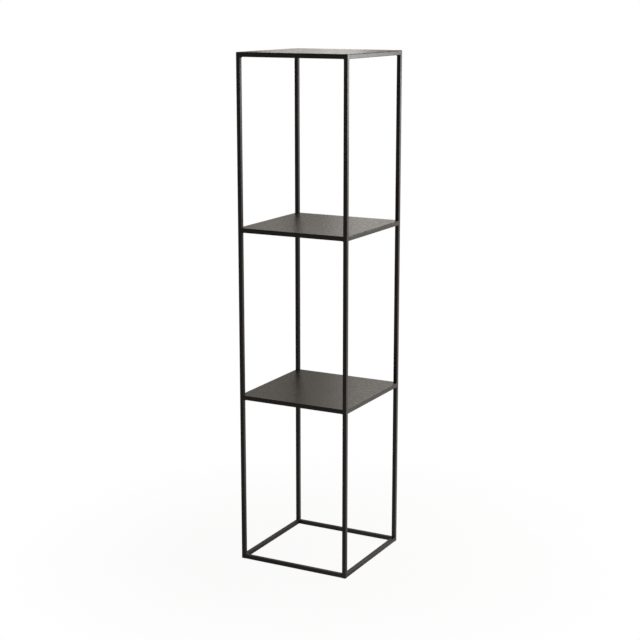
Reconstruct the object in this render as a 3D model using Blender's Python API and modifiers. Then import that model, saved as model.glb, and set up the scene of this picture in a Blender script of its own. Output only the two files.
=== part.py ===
"""A slim open bookcase: a welded frame of small square steel tube that carries three sheet-steel plates.

Four posts run the full height, and four square rings of rails are welded between them.
The lowest ring stays open and stands just off the floor. Each ring above it carries a plate.
Every post ends in a ribbed plastic plug, driven in almost flush, and the four plugs are the feet.

Units are metres and +Z is up. The front faces -Y.
The origin is on the floor at the middle of the footprint.
"""

import math

import bmesh
import bpy

# Overall size
WIDTH = 0.350  # outside of the posts, left to right
DEPTH = 0.350  # outside of the posts, front to rear
HEIGHT = 1.500  # floor to the upper face of the top plate

# Square steel tube, one section for posts and rails
TUBE = 0.012  # outside, across the flats
TUBE_WALL = 0.001
TUBE_CORNER = 0.0015  # outside corner radius
BORE_CORNER_LEAST = 0.0002  # a rolled bore is never quite sharp in its corners

# Sheet-steel plates
SHEET = 0.0012  # thickness
SHEET_EDGE = 0.0003  # rounding left on the deburred edges

# Ribbed plastic plugs in the lower ends of the posts
FOOT_STAND = 0.0005  # how far a plug stands out of its post, so that plastic meets the floor
FOOT_HEAD = 0.0025  # thickness of the plain head, most of which lies inside the bore
FOOT_EDGE = 0.0005  # chamfer round the sole
FOOT_CORNER = 0.001  # corner radius of the sole
PLUG_CORE = 0.006  # width of the stem between its ribs
PLUG_RIB = 0.0012  # thickness of a rib
PLUG_RIB_SPACE = 0.0022  # plain stem below each rib
PLUG_RIB_COUNT = 3

# Welds
WELD_LEG = 0.0025  # size of a fillet along each of the two faces that it joins
WELD_CROWN = 0.0003  # how far the bead swells past a flat fillet
WELD_INSET = 0.0015  # how far a bead stops short of the ground outer faces
STITCH_LENGTH = 0.030  # the short bead under each edge of a plate

# Clearances
SEAT_GAP = 0.0003  # between pieces that lie or butt against each other
PLUG_CLEARANCE = 0.0003  # between a plug's head and ribs and the bore of its post

# Facets of a tube's corner, of a plate's edge, of the turn in a bead, and of a bead's crown
CORNER_STEPS = 3
EDGE_STEPS = 2
TURN_STEPS = 4
CROWN_STEPS = 3

# Points closer than this are one point, and an edge turns at least this far to be rounded
SAME_POINT = 0.00001
ROUNDED_TURN = math.radians(60)

SHELVES = ("lower_shelf", "upper_shelf")

# Levels, from the floor up. The open spaces between one deck and the next are all the same height
POST_FOOT = FOOT_STAND
POST_TOP = HEIGHT - SHEET - SEAT_GAP
DECK = TUBE + SEAT_GAP + SHEET
OPEN_SPACE = (POST_TOP - POST_FOOT - 2 * TUBE - len(SHELVES) * DECK) / (len(SHELVES) + 1)
RING_BOTTOM = {"base": POST_FOOT}
for index, deck_name in enumerate((*SHELVES, "top")):
    RING_BOTTOM[deck_name] = POST_FOOT + TUBE + OPEN_SPACE + index * (DECK + OPEN_SPACE)

# In plan: the middles of the posts and rails, and the inner faces of the rails
POST_X = (WIDTH - TUBE) / 2
POST_Y = (DEPTH - TUBE) / 2
INNER_X = WIDTH / 2 - TUBE
INNER_Y = DEPTH / 2 - TUBE
CORNERS = {
    "front_left": (-1, -1),
    "front_right": (1, -1),
    "rear_right": (1, 1),
    "rear_left": (-1, 1),
}
SIDES = {
    "front": (0, -1),
    "right": (1, 0),
    "rear": (0, 1),
    "left": (-1, 0),
}


def clear_scene():
    for old in list(bpy.data.objects):
        bpy.data.objects.remove(old, do_unlink=True)


def finish_material(name, colour, roughness, metallic):
    """A material with one plain finish; colour is linear red, green and blue."""
    material = bpy.data.materials.new(name)
    material.use_nodes = True
    shader = material.node_tree.nodes["Principled BSDF"]
    shader.inputs["Base Color"].default_value = (*colour, 1.0)
    shader.inputs["Roughness"].default_value = roughness
    shader.inputs["Metallic"].default_value = metallic
    return material


def place(name, data, material, location=(0, 0, 0), rotation=(0, 0, 0)):
    """One piece of the bookcase, standing in the frame of the whole."""
    piece = bpy.data.objects.new(name, data)
    if not data.materials:
        data.materials.append(material)
    piece.location = location
    piece.rotation_euler = rotation
    piece.parent = bookcase
    pieces.objects.link(piece)
    return piece


def rounded_rectangle(width, depth, radius):
    """Points of a rectangle with round corners, centred on the origin, anticlockwise."""
    points = []
    for quarter in range(4):
        middle = math.radians(90 * quarter + 45)
        centre_x = math.copysign(width / 2 - radius, math.cos(middle))
        centre_y = math.copysign(depth / 2 - radius, math.sin(middle))
        for step in range(CORNER_STEPS + 1):
            angle = math.radians(90 * (quarter + step / CORNER_STEPS))
            points.append((centre_x + radius * math.cos(angle), centre_y + radius * math.sin(angle)))
    return points


def notched_rectangle(width, depth, notch):
    """Points of a rectangle with a square notch cut out of each corner, anticlockwise."""
    half_x = width / 2
    half_y = depth / 2
    corner = [(half_x, half_y - notch), (half_x - notch, half_y - notch), (half_x - notch, half_y)]
    flip_x = [(-x, y) for x, y in reversed(corner)]
    flip_both = [(-x, -y) for x, y in corner]
    flip_y = [(x, -y) for x, y in reversed(corner)]
    return corner + flip_x + flip_both + flip_y


def extruded_outline(name, loops, thickness):
    """A flat outline, with a hole for each further loop, made thick along its own Z."""
    outline = bpy.data.curves.new(name, "CURVE")
    outline.dimensions = "2D"
    outline.fill_mode = "BOTH"
    outline.extrude = thickness / 2
    for loop in loops:
        spline = outline.splines.new("POLY")
        spline.points.add(len(loop) - 1)
        for point, (x, y) in zip(spline.points, loop):
            point.co = (x, y, 0, 1)
        spline.use_cyclic_u = True
    return outline


def tube_length(name, length):
    """A length of square tube along its own Z, open at both ends."""
    bore = TUBE - 2 * TUBE_WALL
    bore_corner = max(TUBE_CORNER - TUBE_WALL, BORE_CORNER_LEAST)
    outside = rounded_rectangle(TUBE, TUBE, TUBE_CORNER)
    inside = rounded_rectangle(bore, bore, bore_corner)
    return extruded_outline(name, [outside, inside], length)


def add_posts():
    post = tube_length("post_tube", POST_TOP - POST_FOOT)
    for corner, (x_side, y_side) in CORNERS.items():
        middle = (POST_FOOT + POST_TOP) / 2
        place(f"post_{corner}", post, tube_coat, (POST_X * x_side, POST_Y * y_side, middle))


def add_rails():
    """Each rail fills the space between two posts, with its ends butted against them."""
    across = tube_length("rail_tube_across", WIDTH - 2 * TUBE - 2 * SEAT_GAP)
    deep = tube_length("rail_tube_deep", DEPTH - 2 * TUBE - 2 * SEAT_GAP)
    along_x = (0, math.radians(90), 0)
    along_y = (math.radians(90), 0, 0)
    for ring, bottom in RING_BOTTOM.items():
        for side, (x_side, y_side) in SIDES.items():
            location = (POST_X * x_side, POST_Y * y_side, bottom + TUBE / 2)
            if y_side:
                place(f"{ring}_rail_{side}", across, tube_coat, location, along_x)
            else:
                place(f"{ring}_rail_{side}", deep, tube_coat, location, along_y)


def deburr(plate):
    """The sheared edges of a plate, with the burr taken off."""
    weld = plate.modifiers.new("join_faces", "WELD")
    weld.merge_threshold = SAME_POINT
    bevel = plate.modifiers.new("deburred_edges", "BEVEL")
    bevel.width = SHEET_EDGE
    bevel.segments = EDGE_STEPS
    bevel.limit_method = "ANGLE"
    bevel.angle_limit = ROUNDED_TURN


def plate_middle(ring):
    """Height of the middle of the plate that lies on a ring of rails."""
    return RING_BOTTOM[ring] + TUBE + SEAT_GAP + SHEET / 2


def add_plates():
    """The shelves are notched round the posts, and the top plate covers the ends of the posts."""
    notched = notched_rectangle(WIDTH, DEPTH, TUBE + SEAT_GAP)
    shelf = extruded_outline("shelf_sheet", [notched], SHEET)
    for ring in SHELVES:
        deburr(place(f"{ring}_plate", shelf, sheet_coat, (0, 0, plate_middle(ring))))
    whole = rounded_rectangle(WIDTH, DEPTH, TUBE_CORNER)
    top = extruded_outline("top_sheet", [whole], SHEET)
    deburr(place("top_plate", top, sheet_coat, (0, 0, plate_middle("top"))))


def draw_on(mesh, face, move):
    """Extrudes a face by a move and returns the face at the far end."""
    made = bmesh.ops.extrude_face_region(mesh, geom=[face, *face.edges])["geom"]
    end = next(item for item in made if isinstance(item, bmesh.types.BMFace))
    bmesh.ops.translate(mesh, vec=move, verts=end.verts)
    return end


def closed_mesh(name, mesh):
    """The finished mesh of a piece, with its faces turned outwards."""
    bmesh.ops.recalc_face_normals(mesh, faces=mesh.faces)
    data = bpy.data.meshes.new(name)
    mesh.to_mesh(data)
    mesh.free()
    return data


def plug_mesh():
    """A plug from its sole upwards: the chamfer, the plain head, then a stem with barbed ribs."""
    fit_width = TUBE - 2 * TUBE_WALL - 2 * PLUG_CLEARANCE
    levels = [(FOOT_EDGE, fit_width), (FOOT_HEAD - FOOT_EDGE, fit_width), (0, PLUG_CORE)]
    for _ in range(PLUG_RIB_COUNT):
        levels += [(PLUG_RIB_SPACE, PLUG_CORE), (0, fit_width), (PLUG_RIB, PLUG_CORE)]
    mesh = bmesh.new()
    width = fit_width - 2 * FOOT_EDGE
    sole = rounded_rectangle(width, width, FOOT_CORNER)
    face = mesh.faces.new([mesh.verts.new((x, y, 0)) for x, y in sole])
    for rise, new_width in levels:
        face = draw_on(mesh, face, (0, 0, rise))
        scale = new_width / width
        bmesh.ops.scale(mesh, vec=(scale, scale, 1), verts=face.verts)
        width = new_width
    return closed_mesh("foot_plug", mesh)


def add_feet():
    plug = plug_mesh()
    for corner, (x_side, y_side) in CORNERS.items():
        place(f"foot_plug_{corner}", plug, foot_plastic, (POST_X * x_side, POST_Y * y_side, 0))


def bead_end(mesh, start_y, z_side):
    """The section of a fillet weld, square to Y, in the corner between a face at X 0 and one at Z 0."""
    section = [mesh.verts.new((SEAT_GAP, start_y, z_side * SEAT_GAP))]
    for step in range(CROWN_STEPS + 1):
        angle = math.radians(90 * step / CROWN_STEPS)
        reach = WELD_LEG / (math.cos(angle) + math.sin(angle)) + WELD_CROWN * math.sin(2 * angle)
        x = SEAT_GAP + reach * math.cos(angle)
        z = SEAT_GAP + reach * math.sin(angle)
        section.append(mesh.verts.new((x, start_y, z_side * z)))
    return mesh.faces.new(section)


def corner_weld_mesh(name, z_side):
    """A bead that joins two rails to a post, along one face of it and on round its inner corner.

    The inner edge of the post is at the origin, with the rails on the far side of Z from the bead.
    """
    run = TUBE - WELD_INSET - TUBE_CORNER
    mesh = bmesh.new()
    face = bead_end(mesh, -run - TUBE_CORNER, z_side)
    face = draw_on(mesh, face, (0, run, 0))
    turned = bmesh.ops.spin(
        mesh,
        geom=[face, *face.edges],
        cent=(-TUBE_CORNER, -TUBE_CORNER, 0),
        axis=(0, 0, 1),
        angle=math.radians(90),
        steps=TURN_STEPS,
    )
    face = next(item for item in turned["geom_last"] if isinstance(item, bmesh.types.BMFace))
    draw_on(mesh, face, (-run, 0, 0))
    return closed_mesh(name, mesh)


def add_corner_welds():
    """The beads lie on top of the base ring, which is close to the floor, and below the other rings."""
    above = corner_weld_mesh("corner_weld_above", 1)
    below = corner_weld_mesh("corner_weld_below", -1)
    for ring, bottom in RING_BOTTOM.items():
        bead, level = (above, bottom + TUBE) if ring == "base" else (below, bottom)
        for quarter, (corner, (x_side, y_side)) in enumerate(CORNERS.items()):
            location = (INNER_X * x_side, INNER_Y * y_side, level)
            turn = (0, 0, math.radians(90 * quarter))
            place(f"{ring}_corner_weld_{corner}", bead, weld_coat, location, turn)


def add_stitch_welds():
    """A short bead under the middle of each edge of a plate joins it to the inner face of its rail."""
    mesh = bmesh.new()
    face = bead_end(mesh, -STITCH_LENGTH / 2, -1)
    draw_on(mesh, face, (0, STITCH_LENGTH, 0))
    bead = closed_mesh("stitch_weld", mesh)
    for ring in (*SHELVES, "top"):
        underside = RING_BOTTOM[ring] + TUBE + SEAT_GAP
        for quarter, (side, (x_side, y_side)) in enumerate(SIDES.items(), start=1):
            location = (INNER_X * x_side, INNER_Y * y_side, underside)
            turn = (0, 0, math.radians(90 * quarter))
            place(f"{ring}_stitch_weld_{side}", bead, weld_coat, location, turn)


clear_scene()
pieces = bpy.data.collections.new("bookcase")
bpy.context.scene.collection.children.link(pieces)
bookcase = bpy.data.objects.new("bookcase", None)
pieces.objects.link(bookcase)

# Satin near-black coat on the tube, the sheet and the welds, and dark plastic feet
tube_coat = finish_material("tube_coat", (0.013, 0.012, 0.010), 0.42, 0.0)
sheet_coat = finish_material("sheet_coat", (0.016, 0.014, 0.012), 0.38, 0.0)
weld_coat = finish_material("weld_coat", (0.013, 0.012, 0.010), 0.48, 0.0)
foot_plastic = finish_material("foot_plastic", (0.010, 0.010, 0.010), 0.55, 0.0)

add_posts()
add_rails()
add_plates()
add_feet()
add_corner_welds()
add_stitch_welds()
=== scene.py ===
"""The looks of a slim open bookcase: a welded frame of square steel tube with three sheet-steel plates,
powder coated in a satin warm black. The file follows the order in which the bookcase is put together.
Units are metres, +Z is up and the front faces -Y, as in the frame that is loaded first.
"""

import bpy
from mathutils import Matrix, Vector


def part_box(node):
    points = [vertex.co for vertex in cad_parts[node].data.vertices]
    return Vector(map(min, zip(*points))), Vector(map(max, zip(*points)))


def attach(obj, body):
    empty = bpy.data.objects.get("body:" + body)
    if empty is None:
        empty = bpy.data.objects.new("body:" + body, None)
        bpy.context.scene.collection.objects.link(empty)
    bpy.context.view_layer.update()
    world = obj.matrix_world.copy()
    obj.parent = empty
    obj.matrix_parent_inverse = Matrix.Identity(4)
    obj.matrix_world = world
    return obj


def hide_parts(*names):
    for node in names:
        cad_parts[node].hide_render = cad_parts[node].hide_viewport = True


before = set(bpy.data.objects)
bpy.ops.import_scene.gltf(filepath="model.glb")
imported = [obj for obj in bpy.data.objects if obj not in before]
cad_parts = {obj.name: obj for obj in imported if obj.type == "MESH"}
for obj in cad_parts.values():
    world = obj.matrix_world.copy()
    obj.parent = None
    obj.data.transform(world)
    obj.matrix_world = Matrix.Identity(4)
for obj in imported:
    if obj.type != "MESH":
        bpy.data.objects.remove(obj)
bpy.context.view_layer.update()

import math

import bmesh
import bpy
from mathutils import Matrix, Vector, noise


# Posts
# Four full-height lengths of 12 mm square steel tube with a 1 mm wall, cold rolled and saw cut.
# They are jigged upright first, and every rail is then welded between them.

MM = 0.001
CORNERS = ("front_left", "front_right", "rear_right", "rear_left")
post_low, post_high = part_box("post_front_left")
TUBE = post_high.x - post_low.x
TUBE_WALL = 1.0 * MM
TUBE_CORNER = 1.5 * MM
BORE_CORNER = 0.5 * MM
CUT_CHAMFER = 0.25 * MM
CORNER_STEPS = 8
# Faces that meet at more than this many degrees keep a crisp edge.
CRISP_TURN = 50

# Specks of dust caught in the film. Real ones are under half a millimetre, drawn coarser so that they show.
# Their outline and their flat top are shares of the spacing.
NIB_SPACING = 22 * MM
NIB_OUTLINE = 0.03
NIB_TOP = 0.012
NIB_HEIGHT = 0.01 * MM
# Most of a noise lies between these two, so they take its full range.
NOISE_LOW = 0.3
NOISE_HIGH = 0.7
# The gloss changes from spot to spot, over spots a few millimetres wide.
SPOT_FINENESS = 8
SPOT_LOW = 0.25
SPOT_HIGH = 0.75
SPOT_CHANGE = 0.05
# Handling starts to rub the film this far into a rounded edge, whose crown is 1.
# A painted highlight on edges and crests starts there too.
RUB_START = 0.35
# A matted polyester film scatters part of what it would mirror, so it shines less than a clear one of 1.5.
COAT_IOR = 1.42
# A colour mix's sockets go by number, because several of them share a name.
MIX_SHARE = 0
MIX_FIRST = 6
MIX_SECOND = 7
MIX_COLOUR = 2


def linear(colour):
    """An sRGB hex colour as linear red, green, blue and alpha."""
    channels = [int(colour[place:place + 2], 16) / 255 for place in (1, 3, 5)]
    return (*(c / 12.92 if c <= 0.04045 else ((c + 0.055) / 1.055) ** 2.4 for c in channels), 1.0)


def add_node(owner, kind, inputs=None, **settings):
    """One node of a material or world: its settings, and the sockets or plain values of its inputs."""
    tree = owner.node_tree
    made = tree.nodes.new("ShaderNode" + kind)
    for name, value in settings.items():
        setattr(made, name, value)
    for name, value in (inputs or {}).items():
        if isinstance(value, bpy.types.NodeSocket):
            tree.links.new(value, made.inputs[name])
        else:
            made.inputs[name].default_value = value
    return made


def start_material(name):
    """A new empty material, and the place on the piece that its patterns are read from."""
    material = bpy.data.materials.new(name)
    material.use_nodes = True
    material.node_tree.nodes.clear()
    place = add_node(material, "TexCoord").outputs["Object"]
    return material, place


def powder_coat(
    name, dark, light, wear_dust_and_highlight, wear_and_highlight_part, roughness, rub_shine, cloud_size, peel_size, peel_depth,
):
    """Satin polyester powder, sprayed on dry and baked. It flows into a fine orange peel that softens
    reflections, drifts a little in shade from place to place, and wears thin and smooth on edges and
    crests, where its paler colour is partly wear and partly a painted highlight."""
    coat, place = start_material(name)
    cloud = add_node(coat, "TexNoise", {"Vector": place, "Scale": 1 / cloud_size, "Detail": 4.0})
    spots = add_node(coat, "TexNoise", {"Vector": place, "Scale": SPOT_FINENESS / cloud_size, "Detail": 2.0})
    peel = add_node(coat, "TexNoise", {"Vector": place, "Scale": 1 / peel_size, "Detail": 1.5})
    nibs = add_node(coat, "TexVoronoi", {"Vector": place, "Scale": 1 / NIB_SPACING})
    nib = add_node(coat, "MapRange", {
        "Value": nibs.outputs["Distance"], "From Min": NIB_OUTLINE, "From Max": NIB_TOP,
    })
    edge = add_node(coat, "Attribute", attribute_name=wear_and_highlight_part)
    thin = add_node(coat, "MapRange", {
        "Value": edge.outputs["Fac"], "From Min": RUB_START,
    }, interpolation_type="SMOOTHSTEP")
    drift = add_node(coat, "MapRange", {
        "Value": cloud.outputs["Fac"], "From Min": NOISE_LOW, "From Max": NOISE_HIGH,
    })
    wear_and_highlight = add_node(coat, "Math", {
        0: thin.outputs["Result"], 1: drift.outputs["Result"],
    }, operation="MULTIPLY")
    shade = add_node(coat, "Mix", {
        MIX_SHARE: drift.outputs["Result"], MIX_FIRST: linear(dark), MIX_SECOND: linear(light),
    }, data_type="RGBA")
    specked = add_node(coat, "Mix", {
        MIX_SHARE: nib.outputs["Result"], MIX_FIRST: shade.outputs[MIX_COLOUR], MIX_SECOND: linear(wear_dust_and_highlight),
    }, data_type="RGBA")
    # Edges, sheet rims and weld crests take the paler colour, partly as wear and partly as a painted
    # highlight.
    colour = add_node(coat, "Mix", {
        MIX_SHARE: wear_and_highlight.outputs[0], MIX_FIRST: specked.outputs[MIX_COLOUR], MIX_SECOND: linear(wear_dust_and_highlight),
    }, data_type="RGBA")
    gloss = add_node(coat, "MapRange", {
        "Value": spots.outputs["Fac"], "From Min": SPOT_LOW, "From Max": SPOT_HIGH,
        "To Min": roughness - SPOT_CHANGE, "To Max": roughness + SPOT_CHANGE,
    })
    rough = add_node(coat, "MapRange", {
        "Value": wear_and_highlight.outputs[0], "To Min": gloss.outputs["Result"], "To Max": rub_shine,
    })
    raised = add_node(coat, "Math", {
        0: nib.outputs["Result"], 1: NIB_HEIGHT / peel_depth, 2: peel.outputs["Fac"],
    }, operation="MULTIPLY_ADD")
    bump = add_node(coat, "Bump", {"Height": raised.outputs[0], "Distance": peel_depth})
    shader = add_node(coat, "BsdfPrincipled", {
        "Base Color": colour.outputs[MIX_COLOUR],
        "Roughness": rough.outputs["Result"],
        "Normal": bump.outputs["Normal"],
        "IOR": COAT_IOR,
    })
    add_node(coat, "OutputMaterial", {"Surface": shader.outputs["BSDF"]})
    return coat


def finished_piece(name, mesh, material, slot, *nodes):
    """A mesh made into a smooth-shaded piece that stands for CAD nodes and rides on the one body."""
    data = bpy.data.meshes.new(name)
    mesh.to_mesh(data)
    mesh.free()
    data.materials.append(material)
    data.shade_smooth()
    data.set_sharp_from_angle(angle=math.radians(CRISP_TURN))
    piece = bpy.data.objects.new(name, data)
    bpy.context.scene.collection.objects.link(piece)
    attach(piece, "root")
    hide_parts(*nodes)
    return piece


def keep_flats_flat(piece):
    """Large faces rule the shading where they meet a rounded edge."""
    weighted = piece.modifiers.new("flat_faces", "WEIGHTED_NORMAL")
    weighted.keep_sharp = True


def rounded_square(width, radius):
    """Points round a square with round corners, each with how far it lies into a corner, 0 to 1."""
    points = []
    for quarter in range(4):
        middle = math.radians(90 * quarter + 45)
        centre_x = math.copysign(width / 2 - radius, math.cos(middle))
        centre_y = math.copysign(width / 2 - radius, math.sin(middle))
        for step in range(CORNER_STEPS + 1):
            turn = math.radians(90 * step / CORNER_STEPS)
            angle = math.radians(90 * quarter) + turn
            x = centre_x + radius * math.cos(angle)
            y = centre_y + radius * math.sin(angle)
            points.append((x, y, math.sin(2 * turn)))
    return points


def join_rings(mesh, rings):
    """Faces between each ring of points and the next."""
    for one, other in zip(rings, rings[1:]):
        for index in range(len(one)):
            after = (index + 1) % len(one)
            mesh.faces.new((one[index], one[after], other[after], other[index]))


def square_tube(node, length, to_frame):
    """A length of tube along Z from 0, with its bore and its deburred saw cuts,
    moved to its place in the frame."""
    bore = TUBE - 2 * TUBE_WALL
    face = TUBE - 2 * CUT_CHAMFER
    sections = [
        (bore, BORE_CORNER, 0),
        (face, TUBE_CORNER, 0),
        (TUBE, TUBE_CORNER, CUT_CHAMFER),
        (TUBE, TUBE_CORNER, length - CUT_CHAMFER),
        (face, TUBE_CORNER, length),
        (bore, BORE_CORNER, length),
    ]
    mesh = bmesh.new()
    # How far each point lies into a rounded corner; the coat paints wear and a highlight there.
    corner = mesh.verts.layers.float.new("corner")
    rings = []
    for width, radius, z in sections:
        ring = []
        for x, y, into_corner in rounded_square(width, radius):
            point = mesh.verts.new(to_frame @ Vector((x, y, z)))
            point[corner] = into_corner
            ring.append(point)
        rings.append(ring)
    join_rings(mesh, [*rings, rings[0]])
    bmesh.ops.recalc_face_normals(mesh, faces=mesh.faces)
    keep_flats_flat(finished_piece(f"coated_{node}", mesh, tube_coat, "tube_coat", node))


# On tube: a satin near-black, paler brown along the corners, partly wear and partly a painted highlight.
# The real peel is about 2 mm across, drawn at 5 mm so that it shows.
tube_coat = powder_coat(
    "satin_polyester_powder_coat_on_tube",
    dark="#1f1b18", light="#27221e", wear_dust_and_highlight="#3a342e", wear_and_highlight_part="corner",
    roughness=0.36, rub_shine=0.3, cloud_size=70 * MM, peel_size=5 * MM, peel_depth=0.007 * MM,
)

for corner_name in CORNERS:
    low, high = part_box(f"post_{corner_name}")
    middle = (low + high) / 2
    square_tube(f"post_{corner_name}", high.z - low.z, Matrix.Translation((middle.x, middle.y, low.z)))


# Rails
# Sixteen short lengths of the same tube make four square rings, one open at the floor and one under
# each plate. Their ends are butted to the posts and welded, and the outer faces are ground flush
# before coating.

RINGS = ("base", "lower_shelf", "upper_shelf", "top")
SIDES = ("front", "right", "rear", "left")
INNER = -post_high.x
# Weld metal fills the groove at the post's round corner, so a rail runs on to where the post is flat.
half_rail = INNER + TUBE_CORNER

for ring in RINGS:
    for side in SIDES:
        low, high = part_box(f"{ring}_rail_{side}")
        start = (low + high) / 2
        if side in ("front", "rear"):
            start.x = -half_rail
            lay_down = Matrix.Rotation(math.radians(90), 4, "Y")
        else:
            start.y = -half_rail
            lay_down = Matrix.Rotation(math.radians(-90), 4, "X")
        square_tube(f"{ring}_rail_{side}", 2 * half_rail, Matrix.Translation(start) @ lay_down)


# Corner welds
# A small fillet bead turns round the inner corner of each post and ties it to two rails.
# It is laid by hand in overlapping ripples, left as welded, and coated with the rest.

WELD_LEG = 2.7 * MM
WELD_CROWN = 0.3 * MM
WELD_INSET = 1.5 * MM
WELD_ROOT = -0.1 * MM
RIPPLE_PITCH = 1.2 * MM
RIPPLE_BOW = 0.5 * MM
RIPPLE_DEPTH = 0.09
BEAD_STEP = 0.2 * MM
# Over this length at each end a bead shrinks to this share of its size.
BEAD_TAPER = 1.6 * MM
BEAD_TIP = 0.55
CROWN_STEPS = 8

# On welds: duller than on tube, because the film gathers between the ripples, and lighter on their crests.
# The paler crests are partly wear and partly a painted highlight.
weld_coat = powder_coat(
    "satin_polyester_powder_coat_on_weld",
    dark="#1c1916", light="#25201c", wear_dust_and_highlight="#38322c", wear_and_highlight_part="crest",
    roughness=0.42, rub_shine=0.34, cloud_size=20 * MM, peel_size=2 * MM, peel_depth=0.01 * MM,
)


def weld_bead(node, seam, z_side, to_frame):
    """A rippled bead along a seam of points, each with the direction out of the wall and the distance gone.
    It lies in the corner between that wall and a face at Z 0."""
    mesh = bmesh.new()
    # How near each point lies to a ripple's crest; the coat paints wear and a highlight there.
    crest = mesh.verts.layers.float.new("crest")
    length = seam[-1][2]
    rings = []
    for point, out, gone in seam:
        from_end = min(gone, length - gone) / BEAD_TAPER
        swell = 1 if from_end >= 1 else BEAD_TIP + (1 - BEAD_TIP) * math.sin(from_end * math.pi / 2)
        root = point + out * WELD_ROOT + Vector((0, 0, z_side * WELD_ROOT))
        ring = [mesh.verts.new(to_frame @ root)]
        for step in range(CROWN_STEPS + 1):
            angle = math.radians(90 * step / CROWN_STEPS)
            bow = RIPPLE_BOW * math.sin(2 * angle)
            lap = abs(math.sin(math.pi * (gone - bow) / RIPPLE_PITCH))
            reach = WELD_LEG / (math.cos(angle) + math.sin(angle)) + WELD_CROWN * math.sin(2 * angle)
            reach *= swell * (1 - RIPPLE_DEPTH * (1 - lap) * math.sin(2 * angle))
            place = point + out * (reach * math.cos(angle))
            place.z += z_side * reach * math.sin(angle)
            vertex = mesh.verts.new(to_frame @ place)
            vertex[crest] = lap * math.sin(2 * angle)
            ring.append(vertex)
        rings.append(ring)
    join_rings(mesh, rings)
    mesh.faces.new(rings[0])
    mesh.faces.new(rings[-1])
    bmesh.ops.recalc_face_normals(mesh, faces=mesh.faces)
    finished_piece(f"coated_{node}", mesh, weld_coat, "weld_coat", node)


def corner_seam():
    """Along one face of a post, round its inner corner at the origin, and along the next face."""
    run = TUBE - WELD_INSET - TUBE_CORNER
    turn = TUBE_CORNER * math.radians(90)
    length = 2 * run + turn
    count = round(length / BEAD_STEP)
    seam = []
    for index in range(count + 1):
        gone = length * index / count
        angle = min(max((gone - run) / TUBE_CORNER, 0), math.radians(90))
        out = Vector((math.cos(angle), math.sin(angle), 0))
        along = Vector((-math.sin(angle), math.cos(angle), 0))
        past = gone - run - angle * TUBE_CORNER
        point = Vector((-TUBE_CORNER, -TUBE_CORNER, 0)) + out * TUBE_CORNER + along * past
        seam.append((point, out, gone))
    return seam


for ring in RINGS:
    low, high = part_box(f"{ring}_rail_front")
    level, z_side = (high.z, 1) if ring == "base" else (low.z, -1)
    for quarter, corner_name in enumerate(CORNERS):
        swing = Matrix.Rotation(math.radians(90 * quarter), 4, "Z")
        at_corner = Matrix.Translation((0, 0, level)) @ swing @ Matrix.Translation((-INNER, -INNER, 0))
        weld_bead(f"{ring}_corner_weld_{corner_name}", corner_seam(), z_side, at_corner)


# Shelf plates and top plate
# Sheet steel 1.2 mm thick, laser cut flush with the outside of the rails. The shelves are notched round
# the posts, and the top plate covers their ends. Welding from below leaves each sheet slightly dished.

PLATE_CELLS = 44
PLATE_SAG = 0.35 * MM
PLATE_WAVE = 0.25 * MM
WAVE_SIZE = 110 * MM
# The coat closes the gap round each post, so a notch's edges run this far into the post.
NOTCH_SEALED = 0.45 * MM
# Edges that turn by more than this many degrees are softened.
EDGE_TURN = 60
SHEET_EDGE = 0.45 * MM
EDGE_STEPS = 4
# The top plate's four tips are rounded to a true arc.
TIP_STEPS = 6
TRUE_ARC = 0.5
# Each plate, with the number that its own uneven waves start from.
PLATES = {"lower_shelf": 3.0, "upper_shelf": 11.0, "top": 23.0}

# On sheet: the film flows out smoother than on tube, and mirrors posts and lamps as soft streaks.
# The real peel is about 2 mm across, drawn at 6 mm so that it shows.
# Along the rim the film is paler, partly wear and partly a painted highlight line.
sheet_coat = powder_coat(
    "satin_polyester_powder_coat_on_sheet",
    dark="#211d19", light="#2b2621", wear_dust_and_highlight="#3f3831", wear_and_highlight_part="rim",
    roughness=0.3, rub_shine=0.26, cloud_size=90 * MM, peel_size=6 * MM, peel_depth=0.006 * MM,
)


def dish(x, y, seed):
    """How far a sheet lies below flat: nothing over the rails, most near the middle,
    with soft uneven waves."""
    inside = max(0, 1 - (x / INNER) ** 2) * max(0, 1 - (y / INNER) ** 2)
    wave = (1 + noise.noise(Vector((x / WAVE_SIZE, y / WAVE_SIZE, seed)))) / 2
    return inside * (PLATE_SAG + PLATE_WAVE * wave)


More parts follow.
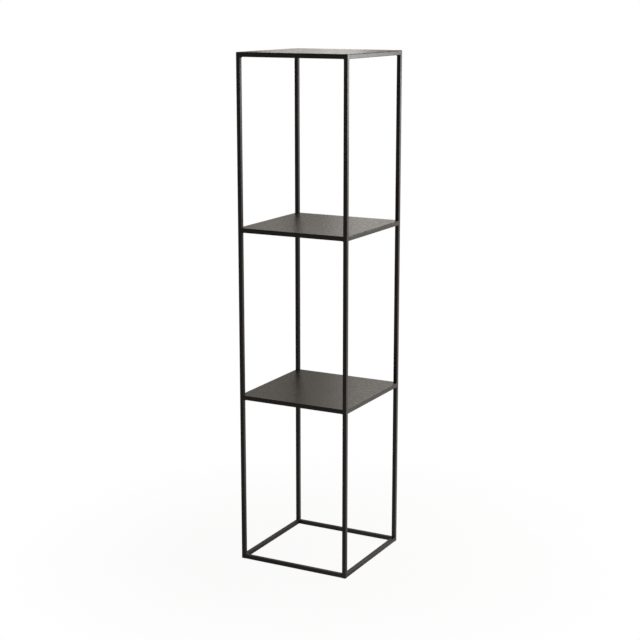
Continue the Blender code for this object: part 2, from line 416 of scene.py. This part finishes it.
def sheet_plate(node, seed, notched):
    """A sheet with its upper face on the CAD plate's, fine enough to hold its dish,
    and with softened edges."""
    low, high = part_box(node)
    border = TUBE - NOTCH_SEALED
    inner = high.x - border
    lines = [-high.x]
    lines += [-inner + 2 * inner * index / PLATE_CELLS for index in range(PLATE_CELLS + 1)]
    lines.append(high.x)
    last = len(lines) - 1
    mesh = bmesh.new()
    # Points on the sheet's edges form its rim; the coat paints wear and a highlight there.
    rim = mesh.verts.layers.float.new("rim")
    grid = {}
    for column, x in enumerate(lines):
        for row, y in enumerate(lines):
            if notched and column in (0, last) and row in (0, last):
                continue
            point = mesh.verts.new((x, y, high.z - dish(x, y, seed)))
            point[rim] = 1.0 if column in (0, last) or row in (0, last) else 0.0
            grid[column, row] = point
    for column in range(last):
        for row in range(last):
            cell = [(column, row), (column + 1, row), (column + 1, row + 1), (column, row + 1)]
            if all(place in grid for place in cell):
                mesh.faces.new([grid[place] for place in cell])
    if not notched:
        tips = [grid[column, row] for column in (0, last) for row in (0, last)]
        bmesh.ops.bevel(
            mesh, geom=tips, affect="VERTICES", offset=TUBE_CORNER, offset_type="OFFSET",
            segments=TIP_STEPS, profile=TRUE_ARC,
        )
    mesh.normal_update()
    plate = finished_piece(f"coated_{node}", mesh, sheet_coat, "sheet_coat", node)
    thick = plate.modifiers.new("sheet_thickness", "SOLIDIFY")
    thick.thickness = high.z - low.z
    thick.offset = -1
    soft = plate.modifiers.new("softened_edges", "BEVEL")
    soft.width = SHEET_EDGE
    soft.segments = EDGE_STEPS
    soft.limit_method = "ANGLE"
    soft.angle_limit = math.radians(EDGE_TURN)
    keep_flats_flat(plate)


for ring, seed in PLATES.items():
    sheet_plate(f"{ring}_plate", seed, notched=ring != "top")


# Stitch welds
# One short bead under the middle of each edge of a plate joins the sheet to the inner face of its rail.
# They are out of sight from above, and coated with the rest.

STITCH_LENGTH = 30 * MM

stitch_count = round(STITCH_LENGTH / BEAD_STEP)
stitch_seam = []
for index in range(stitch_count + 1):
    gone = STITCH_LENGTH * index / stitch_count
    stitch_seam.append((Vector((0, gone - STITCH_LENGTH / 2, 0)), Vector((1, 0, 0)), gone))

for ring in PLATES:
    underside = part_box(f"{ring}_plate")[0].z
    for quarter, side in enumerate(SIDES, start=1):
        swing = Matrix.Rotation(math.radians(90 * quarter), 4, "Z")
        at_edge = Matrix.Translation((0, 0, underside)) @ swing @ Matrix.Translation((-INNER, 0, 0))
        weld_bead(f"{ring}_stitch_weld_{side}", stitch_seam, -1, at_edge)


# Foot plugs
# A black polyethylene plug is driven into the lower end of each post after coating, almost flush with it.
# Barbed ribs grip the bore, and only the rim of the sole, round a shallow dish, meets the floor.

FOOT_HEAD = 2.5 * MM
FOOT_ROUND = 0.5 * MM
FOOT_CORNER = 1.1 * MM
SOLE_RIM = 1.4 * MM
SOLE_DISH = 0.35 * MM
STEM = 6.0 * MM
RIB_RISE = 1.2 * MM
RIB_SPACE = 2.2 * MM
RIB_COUNT = 3
RIB_LIP = 0.1
ROUND_STEPS = 4

# Moulded polyethylene with a spark-eroded skin: a dull, slightly waxy black with paler scuffs.
# The real skin is about 0.2 mm, drawn at 0.6 mm so that it shows.
SKIN_SIZE = 0.6 * MM
SKIN_DEPTH = 0.01 * MM
SCUFF_SIZE = 4 * MM
PLASTIC_BLACK = "#121212"
PLASTIC_SCUFFED = "#201f1e"
PLASTIC_SMOOTH = 0.46
PLASTIC_DULL = 0.6
PLASTIC_IOR = 1.51

plastic, plastic_place = start_material("moulded_black_polyethylene")
skin = add_node(plastic, "TexNoise", {"Vector": plastic_place, "Scale": 1 / SKIN_SIZE, "Detail": 2.0})
scuff = add_node(plastic, "TexNoise", {"Vector": plastic_place, "Scale": 1 / SCUFF_SIZE, "Detail": 3.0})
plastic_shade = add_node(plastic, "Mix", {
    MIX_SHARE: scuff.outputs["Fac"], MIX_FIRST: linear(PLASTIC_BLACK), MIX_SECOND: linear(PLASTIC_SCUFFED),
}, data_type="RGBA")
plastic_rough = add_node(plastic, "MapRange", {
    "Value": skin.outputs["Fac"], "From Min": NOISE_LOW, "From Max": NOISE_HIGH,
    "To Min": PLASTIC_SMOOTH, "To Max": PLASTIC_DULL,
})
plastic_bump = add_node(plastic, "Bump", {"Height": skin.outputs["Fac"], "Distance": SKIN_DEPTH})
plastic_shader = add_node(plastic, "BsdfPrincipled", {
    "Base Color": plastic_shade.outputs[MIX_COLOUR],
    "Roughness": plastic_rough.outputs["Result"],
    "Normal": plastic_bump.outputs["Normal"],
    "IOR": PLASTIC_IOR,
})
add_node(plastic, "OutputMaterial", {"Surface": plastic_shader.outputs["BSDF"]})


def plug_profile(full):
    """Width and height of the plug's section, from the middle of its sole, out round the head
    and up the stem."""
    sole = full - 2 * SOLE_RIM
    profile = [(STEM / 2, SOLE_DISH), (sole - SOLE_DISH, SOLE_DISH), (sole, 0)]
    for step in range(ROUND_STEPS + 1):
        angle = math.radians(90 * step / ROUND_STEPS)
        inwards = FOOT_ROUND * (1 - math.sin(angle))
        profile.append((full - 2 * inwards, FOOT_ROUND * (1 - math.cos(angle))))
    profile += [(full, FOOT_HEAD), (STEM, FOOT_HEAD)]
    level = FOOT_HEAD
    for _ in range(RIB_COUNT):
        profile += [(STEM, level + RIB_SPACE), (full, level + RIB_SPACE + RIB_LIP * RIB_RISE)]
        level += RIB_SPACE + RIB_RISE
        profile.append((STEM, level))
    return profile


for corner_name in CORNERS:
    node = f"foot_plug_{corner_name}"
    low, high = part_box(node)
    middle = (low + high) / 2
    mesh = bmesh.new()
    rings = []
    for width, z in plug_profile(high.x - low.x):
        outline = rounded_square(width, FOOT_CORNER * width / (high.x - low.x))
        rings.append([mesh.verts.new((middle.x + x, middle.y + y, low.z + z)) for x, y, _ in outline])
    join_rings(mesh, rings)
    mesh.faces.new(rings[0])
    mesh.faces.new(rings[-1])
    bmesh.ops.recalc_face_normals(mesh, faces=mesh.faces)
    keep_flats_flat(finished_piece(f"moulded_{node}", mesh, plastic, "foot_plastic", node))


# Floor
# A wide matt studio floor, pale enough to read as white and to keep a soft shadow under the bookcase.
# Away from the bookcase it fades into the white background.

FLOOR_HALF = 30.0
FLOOR_CELLS = 8
FLOOR_GREY = "#cfccc8"
WHITE = "#ffffff"
# How white the floor looks beside the bookcase, and between which distances it turns all white.
NEAR_GLOW = 0.94
FADE_FROM = 0.3
FADE_TO = 1.1
# The coat mirrors the floor, which glows with a painted pool of light at the right rear, under the softbox.
# The painted glow rises along this direction from dim to bright, and fades out between two distances.
LIT_SIDE = (0.8, 0.6, 0.0)
DIM_AT = -0.25
LIT_AT = 0.7
DIM_FLOOR = 0.3
LIT_FLOOR = 0.95
POOL_FROM = 0.6
POOL_TO = 1.1

floor_mesh = bmesh.new()
bmesh.ops.create_grid(floor_mesh, x_segments=FLOOR_CELLS, y_segments=FLOOR_CELLS, size=FLOOR_HALF)
floor_data = bpy.data.meshes.new("studio_floor")
floor_mesh.to_mesh(floor_data)
floor_mesh.free()
floor = bpy.data.objects.new("studio_floor", floor_data)
bpy.context.scene.collection.objects.link(floor)

# Rolled studio vinyl: even, matt and without grain, so that only the shadow shows on it to the camera.
# Reflections see it glow with a painted pool of light instead.
matt_vinyl, floor_place = start_material("matt_white_vinyl")
away = add_node(matt_vinyl, "VectorMath", {0: floor_place}, operation="LENGTH")
fade = add_node(matt_vinyl, "MapRange", {
    "Value": away.outputs["Value"], "From Min": FADE_FROM, "From Max": FADE_TO, "To Min": NEAR_GLOW,
}, interpolation_type="SMOOTHSTEP")
towards_light = add_node(matt_vinyl, "VectorMath", {0: floor_place, 1: LIT_SIDE}, operation="DOT_PRODUCT")
pool_edge = add_node(matt_vinyl, "MapRange", {
    "Value": away.outputs["Value"], "From Min": POOL_FROM, "From Max": POOL_TO,
    "To Min": LIT_FLOOR, "To Max": DIM_FLOOR,
}, interpolation_type="SMOOTHSTEP")
# The painted pool of light that reflections see on the floor.
painted_pool = add_node(matt_vinyl, "MapRange", {
    "Value": towards_light.outputs["Value"], "From Min": DIM_AT, "From Max": LIT_AT,
    "To Min": DIM_FLOOR, "To Max": pool_edge.outputs["Result"],
}, interpolation_type="SMOOTHSTEP")
floor_path = add_node(matt_vinyl, "LightPath")
seen_white = add_node(matt_vinyl, "Math", {
    0: fade.outputs["Result"], 1: floor_path.outputs["Is Camera Ray"],
}, operation="MULTIPLY")
shown = add_node(matt_vinyl, "Math", {
    0: seen_white.outputs[0], 1: floor_path.outputs["Is Glossy Ray"],
}, operation="MAXIMUM")
strength = add_node(matt_vinyl, "MapRange", {
    "Value": floor_path.outputs["Is Glossy Ray"], "To Min": 1.0, "To Max": painted_pool.outputs["Result"],
})
vinyl = add_node(matt_vinyl, "BsdfDiffuse", {"Color": linear(FLOOR_GREY)})
# White to the camera, and the painted pool of light to reflections.
white = add_node(matt_vinyl, "Emission", {"Color": linear(WHITE), "Strength": strength.outputs["Result"]})
floor_mix = add_node(matt_vinyl, "MixShader", {
    0: shown.outputs[0], 1: vinyl.outputs["BSDF"], 2: white.outputs["Emission"],
})
add_node(matt_vinyl, "OutputMaterial", {"Surface": floor_mix.outputs["Shader"]})
floor_data.materials.append(matt_vinyl)


# Light
# Soft studio light: a pale room, a wide softbox overhead, a low white panel behind with a soft left edge,
# a dim one at the far left, a high one at the left rear in three panes, and at the right rear a softbox
# above a white board, which light the right-hand faces.

REAR_GLOW = "#98928b"
FRONT_GLOW = "#88837c"
REARWARDS = (0.0, 1.0, 0.0)
# How far a direction points rearwards, -1 to 1, where the front glow ends and where the rear glow is full.
FRONT_END = -0.4
REAR_START = 0.5
# Whites of the lamps, from the most neutral to the warmest.
SOFTBOX_WHITE = "#fffefd"
PANE_WHITE = "#fffdfb"
WARM_WHITE = "#fffaf3"
BOARD_WHITE = "#fff7ed"
CREAM_WHITE = "#fff4e6"
REAR_PLANE = 1.9

room = bpy.data.worlds.new("studio_room")
bpy.context.scene.world = room
room.use_nodes = True
room.node_tree.nodes.clear()
direction = add_node(room, "TexCoord").outputs["Generated"]
rearwards = add_node(room, "VectorMath", {0: direction, 1: REARWARDS}, operation="DOT_PRODUCT")
behind = add_node(room, "MapRange", {
    "Value": rearwards.outputs["Value"], "From Min": FRONT_END, "From Max": REAR_START,
}, interpolation_type="SMOOTHSTEP")
glow = add_node(room, "Mix", {
    MIX_SHARE: behind.outputs["Result"], MIX_FIRST: linear(FRONT_GLOW), MIX_SECOND: linear(REAR_GLOW),
}, data_type="RGBA")
room_path = add_node(room, "LightPath")
seen_room = add_node(room, "Mix", {
    MIX_SHARE: room_path.outputs["Is Camera Ray"],
    MIX_FIRST: glow.outputs[MIX_COLOUR],
    MIX_SECOND: linear(WHITE),
}, data_type="RGBA")
room_light = add_node(room, "Background", {"Color": seen_room.outputs[MIX_COLOUR], "Strength": 1.0})
add_node(room, "OutputWorld", {"Surface": room_light.outputs["Background"]})


def soft_lamp(name, tint, place, target, width, height, radiance):
    """A flat rectangular lamp that the camera doesn't see. Radiance 1 is as bright as white paper."""
    data = bpy.data.lights.new(name, "AREA")
    data.shape = "RECTANGLE"
    data.size = width
    data.size_y = height
    data.energy = radiance * math.pi * width * height
    data.color = linear(tint)[:3]
    lamp = bpy.data.objects.new(name, data)
    lamp.location = place
    lamp.rotation_euler = (Vector(target) - Vector(place)).to_track_quat("-Z", "Y").to_euler()
    lamp.visible_camera = False
    bpy.context.scene.collection.objects.link(lamp)


def rear_pane(name, tint, left, right, low, high, radiance):
    """An upright pane of white panel behind the bookcase, square to it."""
    x = (left + right) / 2
    z = (low + high) / 2
    soft_lamp(name, tint, (x, REAR_PLANE, z), (x, 0, z), right - left, high - low, radiance)


soft_lamp(
    "overhead_softbox", WARM_WHITE, place=(0.3, 0.5, 3.4), target=(0, 0, 0),
    width=2.4, height=2.4, radiance=1.4,
)
rear_pane("rear_panel", WARM_WHITE, left=-0.85, right=1.28, low=0.9, high=1.55, radiance=0.9)
rear_pane("rear_panel_edge", WARM_WHITE, left=-0.95, right=-0.85, low=0.9, high=1.55, radiance=0.5)
rear_pane("far_left_panel", CREAM_WHITE, left=-1.7, right=-1.2, low=0.9, high=1.55, radiance=0.24)
rear_pane("left_rear_panel_outer", PANE_WHITE, left=-1.3, right=-1.0, low=1.7, high=2.4, radiance=1.27)
rear_pane("left_rear_panel", PANE_WHITE, left=-1.0, right=-0.8, low=1.7, high=2.4, radiance=1.69)
rear_pane("left_rear_panel_inner", PANE_WHITE, left=-0.8, right=-0.6, low=1.7, high=2.4, radiance=0.51)
soft_lamp(
    "right_rear_softbox", SOFTBOX_WHITE, place=(1.04, 0.69, 1.8), target=(0.575, -0.194, 1.8),
    width=1.0, height=1.2, radiance=6.2,
)
soft_lamp(
    "right_rear_board", BOARD_WHITE, place=(0.71, 0.53, 0.6), target=(0.245, -0.354, 0.6),
    width=0.9, height=1.2, radiance=0.88,
)


# Camera
# The viewpoint of the photograph: a little above the top plate, to the right of the front, with a long lens.
# It looks down a little and has no shift, so that the whole bookcase stays in view from any side.

CAMERA_PLACE = (1.972, -3.724, 1.649)
CAMERA_TURN = 27.92
CAMERA_DOWN = 12.46
CAMERA_LENS = 82.16
CAMERA_SENSOR = 36.0

camera_data = bpy.data.cameras.new("viewpoint")
camera_data.lens = CAMERA_LENS
camera_data.sensor_width = CAMERA_SENSOR
camera = bpy.data.objects.new("viewpoint", camera_data)
camera.location = CAMERA_PLACE
camera.rotation_euler = (math.radians(90 - CAMERA_DOWN), 0, math.radians(CAMERA_TURN))
bpy.context.scene.collection.objects.link(camera)
bpy.context.scene.camera = camera
bpy.context.scene.view_settings.view_transform = "Standard"
